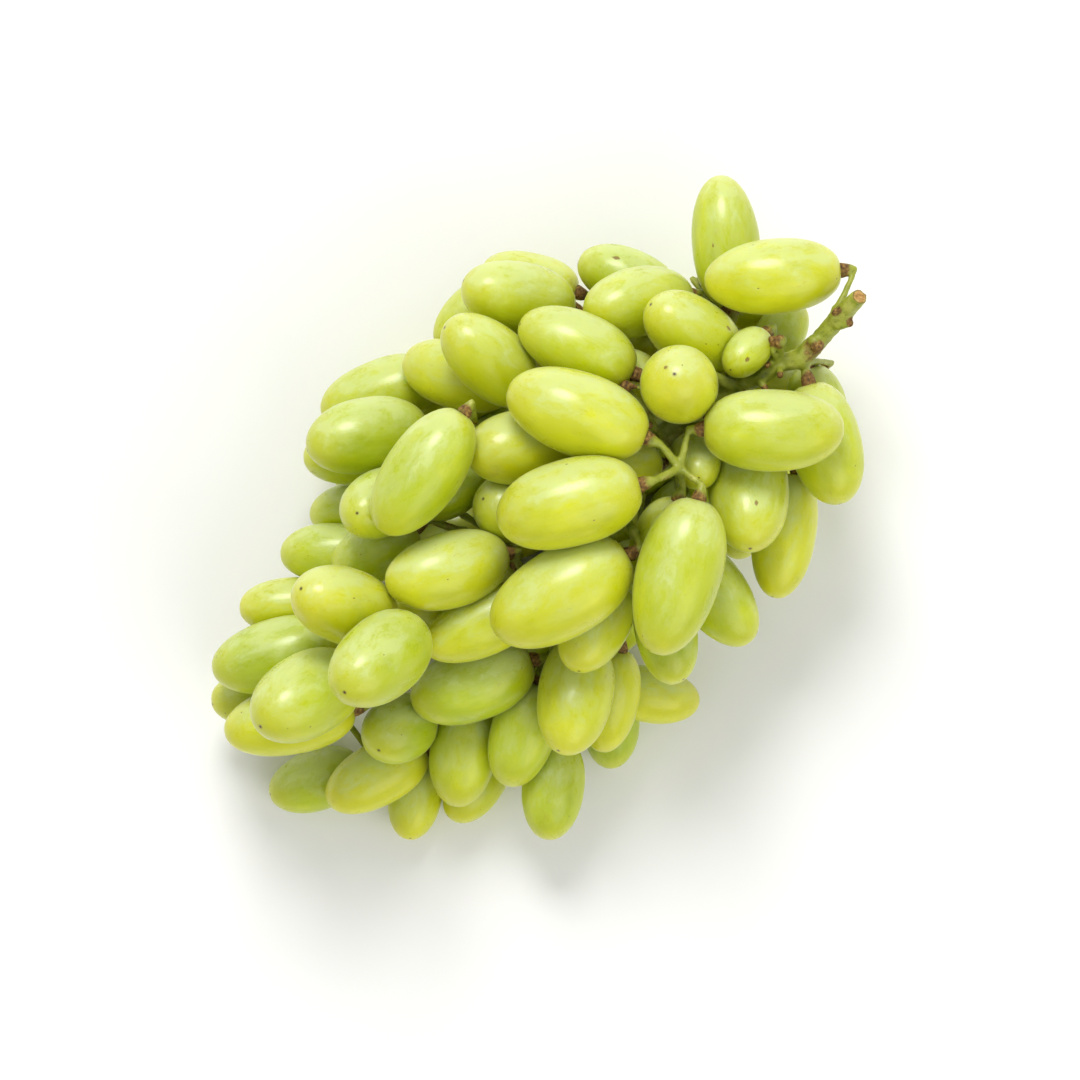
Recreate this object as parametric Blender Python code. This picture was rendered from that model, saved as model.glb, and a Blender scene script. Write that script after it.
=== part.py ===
"""A picked bunch of long green grapes, lying on its side.

World frame, metres, +Z up, +X towards the cut end of the stalk.
Lists of places are in millimetres, read off the bunch as it lies.
"""
import math

import bmesh
import bpy
import numpy as np
from mathutils import Matrix, Vector

MM = 0.001

# Berries: places and headings seen from above, millimetres and degrees.
# Each row: along, across, layer below the top of the bunch, heading of the blossom
# end, rise of the blossom end, length, width. Each group is one side branch.
SEEN_BERRIES = [
    [  # the two that stand out beside the cut stalk
        (59.5, 23.5, 1.3, 60, 0, 27.0, 13.5),
        (64.5, 13.0, 0.0, 150, 0, 27.5, 15.0),
        (57.0, 13.0, 2.4, 300, -15, 16.0, 10.0),
    ],
    [  # upper shoulder
        (40.0, 24.5, 0.6, 155, 30, 24.5, 14.0),
        (41.5, 29.0, 1.6, 120, 0, 22.5, 12.5),
        (48.5, 10.5, 0.4, 115, 35, 24.0, 14.0),
        (51.5, 3.5, 0.3, 190, 30, 12.5, 8.5),
        (39.5, 14.5, 2.0, 325, -20, 19.0, 11.5),
    ],
    [  # one berry seen end on, beside the main stalk
        (36.5, 6.0, 0.2, 100, 80, 21.0, 15.0),
    ],
    [
        (27.5, 16.0, 1.8, 145, -20, 21.0, 12.0),
        (24.0, 23.0, 0.5, 120, 0, 25.0, 14.0),
    ],
    [  # lower shoulder
        (59.5, 2.5, 2.2, 20, -10, 16.0, 10.0),
        (60.0, -12.0, 2.2, 245, -15, 21.0, 12.5),
        (46.5, -12.0, 0.3, 325, 0, 28.0, 16.0),
        (54.0, -20.0, 1.2, 250, 0, 25.0, 14.5),
        (54.0, -6.5, 3.0, 165, -20, 19.0, 11.5),
    ],
    [
        (35.5, -19.0, 1.1, 235, 40, 27.5, 16.0),
        (37.5, -31.0, 2.0, 225, 0, 25.5, 12.5),
        (32.0, -21.0, 2.8, 250, 0, 20.0, 11.5),
        (31.5, -12.5, 2.4, 225, -35, 16.0, 10.0),
        (29.0, -7.5, 1.4, 255, 60, 15.5, 10.0),
    ],
    [
        (22.0, -32.5, 2.0, 270, 0, 24.0, 13.5),
        (12.5, -22.5, 0.3, 220, 0, 31.5, 16.5),
        (5.0, -34.0, 1.3, 245, 20, 22.0, 12.5),
        (16.0, -15.0, 1.8, 215, -20, 21.0, 12.0),
    ],
    [  # crown of the bunch
        (5.0, -1.5, 0.0, 160, 0, 29.0, 17.0),
        (17.5, 13.0, 0.0, 125, 0, 29.0, 16.5),
        (18.0, -0.5, 1.4, 150, 40, 20.0, 10.5),
        (5.0, 13.5, 0.9, 155, 20, 25.5, 15.0),
        (-6.0, 2.5, 1.0, 130, 60, 21.0, 14.5),
    ],
    [
        (23.0, 38.0, 0.9, 135, 30, 25.0, 14.5),
        (29.5, 43.0, 2.2, 130, -10, 20.5, 11.5),
        (12.0, 42.5, 1.9, 185, -5, 21.5, 12.5),
        (9.5, 31.5, 1.2, 105, 25, 24.0, 14.0),
        (0.0, 32.0, 1.6, 130, -15, 24.0, 14.0),
    ],
    [
        (-11.0, 40.5, 2.1, 165, 0, 25.0, 14.0),
        (-19.5, 33.5, 1.2, 155, 25, 26.0, 15.0),
        (-26.0, 30.5, 2.2, 150, 0, 20.0, 12.0),
    ],
    [
        (-14.5, 20.5, 0.4, 200, 0, 28.5, 15.0),
        (-11.0, 13.5, 1.8, 180, 20, 16.0, 10.5),
        (-26.0, 21.0, 1.3, 170, 60, 23.5, 13.5),
        (-30.5, 23.0, 3.0, 150, -20, 20.0, 11.5),
        (-31.5, 14.0, 2.0, 175, 0, 19.0, 12.0),
        (-39.5, 19.0, 2.3, 145, -5, 20.0, 12.0),
    ],
    [
        (-20.0, 5.0, 0.9, 160, 20, 26.0, 15.0),
        (-29.0, 3.0, 2.0, 165, -20, 19.0, 11.5),
        (-25.5, -1.0, 2.8, 165, 15, 16.5, 10.5),
        (-20.5, -9.0, 0.9, 170, 0, 26.0, 13.0),
    ],
    [
        (-42.5, 8.0, 1.2, 125, 45, 25.5, 15.0),
        (-42.5, -4.5, 0.8, 185, 50, 27.5, 16.0),
    ],
    [
        (-53.0, 15.5, 2.5, 150, 5, 18.5, 11.0),
        (-59.5, 9.5, 1.8, 160, 0, 26.5, 15.0),
        (-69.5, 3.5, 2.7, 145, 5, 18.0, 11.0),
        (-59.0, -2.5, 1.2, 175, 45, 28.0, 16.5),
        (-66.5, -6.5, 2.0, 155, 0, 27.0, 14.0),
    ],
    [
        (-6.0, -13.5, 0.5, 175, 0, 30.5, 17.5),
        (-3.5, -24.5, 0.9, 205, 30, 22.0, 13.0),
    ],
    [
        (-16.5, -31.0, 1.0, 225, 25, 26.0, 15.0),
        (-10.5, -38.0, 1.7, 225, -15, 22.0, 11.5),
        (-14.0, -42.0, 2.5, 235, -10, 19.0, 11.5),
        (-2.0, -42.5, 2.2, 315, -10, 20.0, 11.5),
    ],
    [
        (-31.0, -19.0, 1.1, 165, 0, 26.0, 15.0),
        (-29.0, -34.0, 1.5, 220, -5, 22.0, 13.0),
        (-30.0, -46.5, 2.3, 230, 0, 21.5, 12.5),
    ],
    [
        (-69.5, -17.5, 2.6, 165, 5, 20.0, 12.5),
        (-57.5, -23.5, 2.0, 175, 12, 23.0, 13.0),
        (-53.5, -32.0, 2.9, 225, 12, 18.0, 11.0),
        (-49.0, -17.0, 1.3, 170, 58, 19.0, 13.8),
    ],
    [  # tip of the bunch
        (-41.5, -29.5, 1.7, 225, 0, 22.0, 13.5),
        (-44.5, -36.0, 2.6, 200, 12, 18.0, 11.0),
    ],
]

# Outline of the bunch along its length: middle line, half width and half height
# of the outermost berries' middles, millimetres.
OUTLINE = [
    (-76, -4, 6, 18),
    (-68, -4, 12, 24),
    (-60, -5, 19, 28),
    (-40, -8, 29, 30),
    (-20, -3, 42, 29),
    (0, 0, 42, 27),
    (20, 3, 37, 25),
    (40, -1, 31, 22),
    (60, 4, 20, 16),
    (70, 4, 12, 10),
]
CORE_HEIGHT = 29.5          # height of the bunch's middle above the surface
LAYER_DEPTH = 4.0           # how much lower each layer may at most stand
SIDE_ROOM = 7.0             # how far the cross-section reaches past the berries' middles

# Berries under the bunch, in rows across it, one branch to a row.
UNDER_STEP = 20.0           # from row to row
UNDER_START = -20.0
UNDER_ROWS = 4
UNDER_PITCH = 17.3          # from berry to berry in a row
UNDER_INSET = 6.0           # kept in from the outline
UNDER_LENGTH = 24.5
UNDER_WIDTH = 14.5
UNDER_SPLAY = 40.0          # how far the blossom ends turn out at the sides, degrees
UNDER_DROOP = -14.0
UNDER_STAGGER = 3.5         # every other berry in a row lies this much further along
UNDER_TURN = 12.0           # how much headings vary, degrees; the rise varies half as much
UNDER_SPREAD = 0.06         # how much sizes vary
SEED = 12

# Main stalk: along, across, height, radius, millimetres.
STALK = [
    (75.5, -0.2, 52.0, 1.7),
    (72.7, -0.8, 48.0, 1.7),
    (69.9, -1.4, 45.0, 1.9),
    (64.3, -2.8, 42.0, 1.8),
    (59.5, -3.6, 41.0, 2.2),
    (55.5, -1.9, 40.0, 1.8),
    (50.8, -2.0, 40.0, 1.8),
    (46.0, -0.5, 38.0, 1.8),
    (40.5, 0.5, 35.5, 1.8),
    (35.0, 0.0, 34.0, 1.9),
    (29.0, 1.0, 32.0, 1.8),
    (20.0, 1.5, 30.0, 1.7),
    (8.0, 1.0, 25.7, 1.6),
    (-5.0, -1.0, 22.0, 1.5),
    (-18.0, -3.0, 21.0, 1.4),
    (-32.0, -6.0, 20.0, 1.3),
    (-46.0, -7.0, 17.0, 1.1),
    (-57.0, -6.0, 13.0, 1.0),
]
STALK_SHOWS = 30.0          # the stalk is in sight from here to its cut end
STEMS_SHOW = 10.0           # stems from here to the cut end can be seen from above
# Forks that show: along, across, height, and where they leave the stalk.
SEEN_FORKS = [
    (70.5, 1.5, 43.5, 68.0),
    (57.6, -7.0, 38.5, 59.5),
    (50.5, 15.0, 33.0, 52.0),
    (29.5, 12.0, 42.0, 33.0),
    (30.5, 26.0, 31.0, 36.0),
    (22.8, -8.0, 49.0, 28.0),
]
HIDDEN_FORKS_AT = [-54.0, -41.0, -28.0, -15.0, -2.0, 11.0, 24.0, 38.0]
FORK_SIDE = 0.42            # share of the half width at which hidden forks stand
FORK_LEVEL = 0.3            # share of the half height at which they stand above and below
FORK_LEAN = 9.0             # hidden forks leave the stalk this much nearer its cut end

FORK_RADIUS = 0.85
KNOB_RADIUS = 1.4           # swelling where a fork divides
PEDICEL_RADIUS = 0.75
SEAT_RADIUS = 1.6           # flared seat at the end that holds the berry
NECK_LENGTH = 2.4           # straight stretch behind the seat
KNOT_STEP = 3.4             # spacing of the points along a stem
STEM_SLACK = 0.42           # how far a drawn stem may stray from its points

PRESS = 1.25                # how deep berries of one branch press into each other
CLEAR = 0.32                # gap between pieces that don't press
HANG_PRESS = 1.0            # the same two while the berries are first hung
HANG_CLEAR = 0.35
REST_SINK = 0.3             # how deep a resting berry is flattened

# How the bunch settles, a small move at a time.
ROUNDS = 700
PAIR_ROUNDS = 15            # how often neighbours are looked up again
PAIR_ROOM = 3.0             # neighbours are looked for this far apart
BALLS = 7                   # balls that stand for a berry
SEEN_EASE = 0.45            # how easily a berry that shows moves sideways, beside 1 upwards
OVERSHOOT = 1.2             # share of an overlap that one round takes away
JOIN_PULL = 1.1             # how strongly a branch's berries draw together
JOIN_REACH = 2.0            # the most that they draw together in a round
JOIN_SLACK = 0.1
STEM_ROOM = 0.25            # kept between stems and berries besides the clearance
STEM_SHARE = 0.7            # share of an overlap with a berry that a stem gives way
BERRY_SHARE = 0.6           # and that the berry gives way
STRAIGHTEN = 0.25           # how fast stems pull straight
NECK_PULL = 0.6             # how fast a neck comes in line with its berry
STEM_FLOOR = 0.6            # stems keep this far above the surface
HOME_PULL = 0.06            # how strongly berries first keep to their places
HOME_FADE = 1.4             # and how fast that fades
HOME_RISE = 0.25            # it is this much weaker upwards
SEEN_KEEP = 0.007           # berries that show are always drawn back sideways by this share
NEAR_FLOOR = 1.5            # berries this low are drawn down to rest on the surface
TINY = 1e-6


class Berries:
    """Middles, axes to the blossom ends, half lengths and widths, branches and ease."""

    def __init__(self, rows):
        self.middles = np.array([row[0] for row in rows], float)
        self.axes = np.array([row[1] for row in rows], float)
        self.half_lengths = np.array([row[2] for row in rows])
        self.half_widths = np.array([row[3] for row in rows])
        self.branches = np.array([row[4] for row in rows])
        side_ease = np.array([row[5] for row in rows])
        self.ease = np.stack([side_ease, side_ease, np.ones(len(rows))], 1)
        self.seen = side_ease < 1.0


class Stems:
    """Points of the stalk, the forks and the pedicels, and the runs that join them."""

    def __init__(self):
        self.place = []
        self.radius = []
        self.fixed = []
        self.berry = []
        self.runs = []
        self.forks = []

    def add(self, place, radius, fixed, berry=-1):
        self.place.append(list(place))
        self.radius.append(radius)
        self.fixed.append(fixed)
        self.berry.append(berry)
        return len(self.place) - 1


def outline(along):
    rows = np.array(OUTLINE, float)
    return [float(np.interp(along, rows[:, 0], rows[:, k])) for k in (1, 2, 3)]


def crown(along, across):
    """How far the cross-section reaches above the bunch's middle at a place."""
    middle, half_width, half_height = outline(along)
    side = (across - middle) / (half_width + SIDE_ROOM)
    return half_height * math.sqrt(max(0.0, 1.0 - side * side))


def heading_vector(heading, rise):
    h = math.radians(heading)
    r = math.radians(rise)
    return [math.cos(h) * math.cos(r), math.sin(h) * math.cos(r), math.sin(r)]


def chain(half_length, half_width, count=BALLS):
    """Balls along the axis that fill one berry: their offsets and radii."""
    spare = half_length ** 2 - half_width ** 2
    reach = spare / half_length
    offsets = np.linspace(-reach, reach, count)
    radii = half_width * np.sqrt(1.0 - offsets ** 2 / spare)
    return offsets, radii


def balls_of(row):
    offsets, radii = chain(row[2], row[3])
    return np.array(row[0])[None] + np.array(row[1])[None] * offsets[:, None], radii


def hang(rows, layers):
    """Hangs each berry as high as the crown and the berries of upper layers let it."""
    placed = []
    for k in sorted(range(len(rows)), key=lambda q: layers[q]):
        mine, radii = balls_of(rows[k])
        start = rows[k][0][2]
        height = start
        for q in placed:
            other, other_radii = balls_of(rows[q])
            flat = np.linalg.norm(mine[:, None, :2] - other[None, :, :2], axis=2)
            gap = -HANG_PRESS if rows[k][4] == rows[q][4] else HANG_CLEAR
            reach = radii[:, None] + other_radii[None] + gap
            drop = np.sqrt(np.maximum(reach ** 2 - flat ** 2, 0.0))
            limit = other[None, :, 2] - drop - (mine[:, None, 2] - start)
            height = min(height, float(np.where(flat < reach, limit, start).min()))
        rows[k][0][2] = height
        placed.append(k)


def seen_rows():
    rows = []
    layers = []
    for branch, group in enumerate(SEEN_BERRIES):
        for along, across, layer, heading, rise, length, width in group:
            height = CORE_HEIGHT + crown(along, across) - LAYER_DEPTH * layer
            axis = heading_vector(heading, rise)
            place = [along, across, height]
            rows.append((place, axis, length / 2, width / 2, branch, SEEN_EASE))
            layers.append(layer)
    hang(rows, layers)
    return rows


def under_rows():
    rows = []
    draw = np.random.default_rng(SEED)
    for row in range(UNDER_ROWS):
        along = UNDER_START + row * UNDER_STEP
        middle, half_width, half_height = outline(along)
        count = max(2, int(2 * (half_width - UNDER_INSET) / UNDER_PITCH) + 1)
        for k in range(count):
            across = (k - (count - 1) / 2) * UNDER_PITCH
            turn = 180.0 - UNDER_SPLAY * across / half_width + UNDER_TURN * draw.uniform(-1, 1)
            shift = UNDER_STAGGER * (2 * (k % 2) - 1)
            place = [along + shift, middle + across, CORE_HEIGHT - crown(along, middle + across)]
            axis = heading_vector(turn, UNDER_DROOP + 0.5 * UNDER_TURN * draw.uniform(-1, 1))
            size = 0.5 * (1 + UNDER_SPREAD * draw.uniform(-1, 1))
            branch = len(SEEN_BERRIES) + row
            rows.append((place, axis, UNDER_LENGTH * size, UNDER_WIDTH * size, branch, 1.0))
    return rows


def nearest(points, target):
    return int(np.argmin(np.linalg.norm(np.array(points) - np.array(target), axis=1)))


def run_between(stems, first, last, start, end, radius):
    """A run of points from the first knots to the last one, about a knot step apart."""
    length = float(np.linalg.norm(np.array(end) - np.array(start)))
    count = max(1, int(length / KNOT_STEP))
    run = list(first)
    for k in range(1, count):
        share = k / count
        place = np.array(start) * (1 - share) + np.array(end) * share
        run.append(stems.add(place, radius, False))
    run.append(last)
    stems.runs.append(run)


def start_stalk(stems):
    stalk = []
    rows = np.array(STALK, float)
    for a, b in zip(rows[:-1], rows[1:]):
        count = max(1, round(float(np.linalg.norm(b[:3] - a[:3])) / KNOT_STEP))
        for k in range(count):
            p = a + (b - a) * k / count
            stalk.append(stems.add(p[:3], p[3], p[0] > STALK_SHOWS))
    stalk.append(stems.add(rows[-1][:3], rows[-1][3], True))
    stems.runs.append(list(stalk))
    return stalk


def fork_places():
    """Where stems may divide, and how far along the stalk each of those places hangs on."""
    forks = [([along, across, height], root) for along, across, height, root in SEEN_FORKS]
    for along in HIDDEN_FORKS_AT:
        middle, half_width, half_height = outline(along)
        for side in (-1, 1):
            for level in (-1, 1):
                across = middle + side * FORK_SIDE * half_width
                height = CORE_HEIGHT + level * FORK_LEVEL * half_height
                forks.append(([along, across, height], along + FORK_LEAN))
    return forks


def start_stems(berries):
    """Every berry gets a pedicel from the nearest fork or stretch of the stalk."""
    stems = Stems()
    stalk = start_stalk(stems)
    forks = fork_places()
    places = [fork[0] for fork in forks]
    stalk_places = [stems.place[k] for k in stalk]
    knots = {}
    for berry, (middle, axis) in enumerate(zip(berries.middles, berries.axes)):
        seat = middle - axis * (berries.half_lengths[berry] + CLEAR)
        behind = seat - axis * NECK_LENGTH
        last = stems.add(seat, SEAT_RADIUS, False, berry)
        neck = stems.add(behind, PEDICEL_RADIUS, False, berry)
        fork = nearest(places, behind)
        on_stalk = nearest(stalk_places, behind)
        to_fork = np.linalg.norm(np.array(places[fork]) - behind)
        if np.linalg.norm(np.array(stalk_places[on_stalk]) - behind) < to_fork:
            run_between(stems, [last, neck], stalk[on_stalk], behind, stalk_places[on_stalk],
                        PEDICEL_RADIUS)
            continue
        if fork not in knots:
            knots[fork] = stems.add(places[fork], FORK_RADIUS, False)
            root = stalk[nearest(np.array(stalk_places)[:, :1], [forks[fork][1]])]
            run_between(stems, [knots[fork]], root, places[fork], stems.place[root], FORK_RADIUS)
            stems.forks.append(knots[fork])
        run_between(stems, [last, neck], knots[fork], behind, places[fork], PEDICEL_RADIUS)
    return stems


def near_pairs(berries):
    """Pairs of berries that could touch, and whether both hang on one branch."""
    middles = berries.middles
    apart = np.linalg.norm(middles[:, None] - middles[None], axis=2)
    reach = berries.half_lengths[:, None] + berries.half_lengths[None] + PAIR_ROOM
    upper = np.arange(len(middles))[:, None] < np.arange(len(middles))[None]
    first, second = np.where((apart < reach) & upper)
    return first, second, berries.branches[first] == berries.branches[second]


def branch_tree(gaps, pairs, count):
    """Marks the closest pairs that join each branch's berries into one body."""
    first, second, same = pairs
    parent = list(range(count))

    def top(x):
        while parent[x] != x:
            x = parent[x]
        return x

    chosen = np.zeros(len(gaps), bool)
    for q in np.argsort(gaps):
        if same[q]:
            a = top(first[q])
            b = top(second[q])
            if a != b:
                parent[a] = b
                chosen[q] = True
    return chosen


def closest_balls(balls, radii, first, second):
    """Gap between the closest balls of each pair of berries, and the way from one to the other."""
    across = balls[first][:, :, None, :] - balls[second][:, None, :, :]
    gap = np.linalg.norm(across, axis=3) - radii[first][:, :, None] - radii[second][:, None, :]
    gap = gap.reshape(len(first), -1)
    closest = gap.argmin(1)
    rows = np.arange(len(first))
    way = across.reshape(len(first), -1, 3)[rows, closest]
    way = way / np.maximum(np.linalg.norm(way, axis=1, keepdims=True), TINY)
    return gap[rows, closest], way


def part_berries(berries, pairs, joined, gap, way):
    """Pushes overlapping berries apart and draws a branch's berries together."""
    first, second, same = pairs
    ease = berries.ease
    short = np.maximum(np.where(same, -PRESS, CLEAR) - gap, 0.0)
    pull = np.clip(gap + PRESS - JOIN_SLACK, 0.0, JOIN_REACH)
    pull = np.where(joined, pull, 0.0) * JOIN_PULL
    ease_first = (way ** 2 * ease[first]).sum(1)
    ease_second = (way ** 2 * ease[second]).sum(1)
    amount = ((short - pull) / np.maximum(ease_first + ease_second, TINY))[:, None] * way
    busy = (short > 0) | (pull > 0)
    move = np.zeros_like(berries.middles)
    times = np.zeros(len(move))
    np.add.at(move, first, amount * ease[first])
    np.add.at(move, second, -amount * ease[second])
    np.add.at(times, first, busy)
    np.add.at(times, second, busy)
    berries.middles += OVERSHOOT * move / np.maximum(times, 1)[:, None]


def part_stems(berries, stems, balls, radii):
    """Pushes stems out of berries, and berries away from stems."""
    knots = stems.knots
    count = len(berries.middles)
    diff = knots[:, None] - balls.reshape(-1, 3)[None]
    apart = np.linalg.norm(diff, axis=2)
    need = stems.radii[:, None] + CLEAR + STEM_ROOM + radii.reshape(-1)[None]
    lack = (need - apart).reshape(len(knots), count, BALLS)
    ball = lack.argmax(2)
    own = stems.owner[:, None] == np.arange(count)[None]
    lack = np.where(own, 0.0, np.maximum(lack.max(2), 0.0))
    at_knot, at_berry = np.where(lack > 0)
    amount = lack[at_knot, at_berry]
    index = at_berry * BALLS + ball[at_knot, at_berry]
    way = diff[at_knot, index] / np.maximum(apart[at_knot, index], TINY)[:, None]
    held = stems.held[at_knot]
    push = np.zeros_like(knots)
    times = np.zeros(len(knots))
    np.add.at(push, at_knot, way * (amount * np.where(held, 0.0, STEM_SHARE))[:, None])
    np.add.at(times, at_knot, np.where(held, 0.0, 1.0))
    knots += push / np.maximum(times, 1)[:, None]
    back = np.zeros_like(berries.middles)
    times = np.zeros(count)
    ease = berries.ease[at_berry]
    share = amount * np.where(held, 1.0, BERRY_SHARE) / (way ** 2 * ease).sum(1)
    np.add.at(back, at_berry, -way * share[:, None] * ease)
    np.add.at(times, at_berry, 1)
    berries.middles += back / np.maximum(times, 1)[:, None]


def straighten(berries, stems):
    """Stems pull straight, and end at their berries."""
    knots = stems.knots
    first, second = stems.links
    mean = np.zeros_like(knots)
    np.add.at(mean, first, knots[second])
    np.add.at(mean, second, knots[first])
    mean /= stems.degree[:, None]
    loose = (~stems.held) & (stems.owner < 0)
    knots[loose] += STRAIGHTEN * (mean[loose] - knots[loose])
    seat_at = berries.middles - berries.axes * (berries.half_lengths + CLEAR)[:, None]
    knots[stems.seats] = seat_at[stems.owner[stems.seats]]
    on = stems.owner[stems.necks]
    aim = seat_at[on] - berries.axes[on] * NECK_LENGTH
    knots[stems.necks] += NECK_PULL * (aim - knots[stems.necks])
    knots[:, 2] = np.maximum(knots[:, 2], stems.radii + STEM_FLOOR)


def keep_home(berries, home, step):
    """Each berry keeps near its place, and rests on the surface if it is low."""
    middles = berries.middles
    fade = HOME_PULL * max(0.0, 1.0 - HOME_FADE * step / ROUNDS)
    keep = SEEN_KEEP * berries.seen[:, None] * np.array([1.0, 1.0, 0.0])
    middles += (home - middles) * (fade * np.array([1.0, 1.0, HOME_RISE]) + keep)
    upright = berries.axes[:, 2] ** 2
    hang_down = np.sqrt(berries.half_lengths ** 2 * upright + berries.half_widths ** 2 * (1 - upright))
    low = middles[:, 2] - hang_down
    sink = -REST_SINK - low
    middles[:, 2] += np.where(low < NEAR_FLOOR, np.maximum(sink, 0.3 * sink), 0.0)


def settle(berries, stems):
    """Moves berries and stems a little at a time until nothing crosses."""
    home = berries.middles.copy()
    count = len(home)
    offsets = np.zeros((count, BALLS))
    radii = np.zeros((count, BALLS))
    for k in range(count):
        offsets[k], radii[k] = chain(berries.half_lengths[k], berries.half_widths[k])
    stems.knots = np.array(stems.place)
    stems.radii = np.array(stems.radius)
    stems.held = np.array(stems.fixed)
    stems.owner = np.array(stems.berry)
    pedicels = [run for run in stems.runs if stems.owner[run[0]] >= 0]
    stems.seats = np.array([run[0] for run in pedicels])
    stems.necks = np.array([run[1] for run in pedicels])
    stems.links = np.array([link for run in stems.runs for link in zip(run[:-1], run[1:])]).T
    stems.degree = np.bincount(stems.links.ravel(), minlength=len(stems.knots))
    for step in range(ROUNDS):
        balls = berries.middles[:, None] + berries.axes[:, None] * offsets[:, :, None]
        if step % PAIR_ROUNDS == 0:
            pairs = near_pairs(berries)
        gap, way = closest_balls(balls, radii, pairs[0], pairs[1])
        if step % PAIR_ROUNDS == 0:
            joined = branch_tree(gap, pairs, count)
        part_berries(berries, pairs, joined, gap, way)
        part_stems(berries, stems, balls, radii)
        straighten(berries, stems)
        keep_home(berries, home, step)
    stems.place = [list(p) for p in stems.knots]


def layout():
    berries = Berries(seen_rows() + under_rows())
    stems = start_stems(berries)
    settle(berries, stems)
    return berries, stems


def clear_scene():
    for thing in list(bpy.data.objects):
        bpy.data.objects.remove(thing)


def material(name, colour, roughness):
    made = bpy.data.materials.new(name)
    made.use_nodes = True
    shader = made.node_tree.nodes["Principled BSDF"]
    shader.inputs["Base Color"].default_value = colour + (1.0,)
    shader.inputs["Roughness"].default_value = roughness
    shader.inputs["Metallic"].default_value = 0.0
    return made


def object_from(bm, name, collection):
    mesh = bpy.data.meshes.new(name)
    bm.to_mesh(mesh)
    bm.free()
    made = bpy.data.objects.new(name, mesh)
    collection.objects.link(made)
    return made


def berry_piece(name, middle, axis, half_length, half_width, collection):
    """One berry: a ball drawn out along its axis, cut flat where it meets the surface."""
    bm = bmesh.new()
    bmesh.ops.create_icosphere(bm, subdivisions=2, radius=1.0)
    turn = Vector((0, 0, 1)).rotation_difference(Vector(axis)).to_matrix().to_4x4()
    size = Matrix.Diagonal((half_width * MM, half_width * MM, half_length * MM, 1.0))
    place = Matrix.Translation(Vector(middle) * MM)
    bmesh.ops.transform(bm, matrix=place @ turn @ size, verts=bm.verts)
    if min(v.co.z for v in bm.verts) < 0.0:
        everything = bm.verts[:] + bm.edges[:] + bm.faces[:]
        bmesh.ops.bisect_plane(bm, geom=everything, plane_co=(0, 0, 0), plane_no=(0, 0, -1),
                               clear_outer=True)
        rim = [e for e in bm.edges if e.is_boundary]
        bmesh.ops.holes_fill(bm, edges=rim, sides=0)
    return object_from(bm, name, collection)


def tube_piece(name, points, radii, collection, roundness):
    """A stem through its points, with a radius at each; roundness 0 makes it four-sided."""
    curve = bpy.data.curves.new(name, "CURVE")
    curve.dimensions = "3D"
    curve.bevel_depth = MM
    curve.bevel_resolution = roundness
    curve.use_fill_caps = True
    spline = curve.splines.new("POLY")
    spline.points.add(len(points) - 1)
    for k, (point, radius) in enumerate(zip(points, radii)):
        spline.points[k].co = (point[0] * MM, point[1] * MM, point[2] * MM, 1.0)
        spline.points[k].radius = radius
    tube = bpy.data.objects.new(name, curve)
    collection.objects.link(tube)
    bpy.context.view_layer.update()
    graph = bpy.context.evaluated_depsgraph_get()
    mesh = bpy.data.meshes.new_from_object(tube.evaluated_get(graph))
    bm = bmesh.new()
    bm.from_mesh(mesh)
    bmesh.ops.remove_doubles(bm, verts=bm.verts, dist=0.00001)
    bmesh.ops.recalc_face_normals(bm, faces=bm.faces)
    bpy.data.objects.remove(tube)
    return object_from(bm, name, collection)


def thin_out(points, radii):
    """Leaves out the points that a straight stretch between others can stand for."""
    kept = [0]
    start = 0
    for end in range(2, len(points)):
        a = np.array(points[start])
        b = np.array(points[end])
        along = (b - a) / np.linalg.norm(b - a)
        off = 0.0
        for k in range(start + 1, end):
            to_point = np.array(points[k]) - a
            off = max(off, float(np.linalg.norm(to_point - along * to_point.dot(along))))
            share = (k - start) / (end - start)
            off = max(off, abs(radii[k] - radii[start] * (1 - share) - radii[end] * share))
        if off > STEM_SLACK:
            kept.append(end - 1)
            start = end - 1
    kept.append(len(points) - 1)
    return [points[k] for k in kept], [radii[k] for k in kept]


def knob_piece(name, place, collection):
    bm = bmesh.new()
    bmesh.ops.create_icosphere(bm, subdivisions=1, radius=KNOB_RADIUS * MM,
                               matrix=Matrix.Translation(Vector(place) * MM))
    return object_from(bm, name, collection)


def fuse(pieces, name, surface, solver="EXACT"):
    """Joins the pieces into one body with one union on a collection."""
    base = pieces[0]
    if len(pieces) > 1:
        others = bpy.data.collections.new(name + "_pieces")
        bpy.context.scene.collection.children.link(others)
        for piece in pieces[1:]:
            others.objects.link(piece)
        union = base.modifiers.new("union", "BOOLEAN")
        union.operation = "UNION"
        union.operand_type = "COLLECTION"
        union.collection = others
        union.solver = solver
        bpy.context.view_layer.update()
        graph = bpy.context.evaluated_depsgraph_get()
        mesh = bpy.data.meshes.new_from_object(base.evaluated_get(graph))
        base.modifiers.clear()
        base.data = mesh
        for piece in pieces[1:]:
            bpy.data.objects.remove(piece)
        bpy.data.collections.remove(others)
    base.name = name
    base.data.name = name
    base.data.materials.clear()
    base.data.materials.append(surface)
    base.data.shade_smooth()


def make_branch(branch, berries, skin, collection):
    pieces = []
    for k in np.where(berries.branches == branch)[0]:
        pieces.append(berry_piece(f"berry_{k}", berries.middles[k], berries.axes[k],
                                  berries.half_lengths[k], berries.half_widths[k], collection))
    fuse(pieces, f"berries_{branch + 1:02d}", skin)


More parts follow.
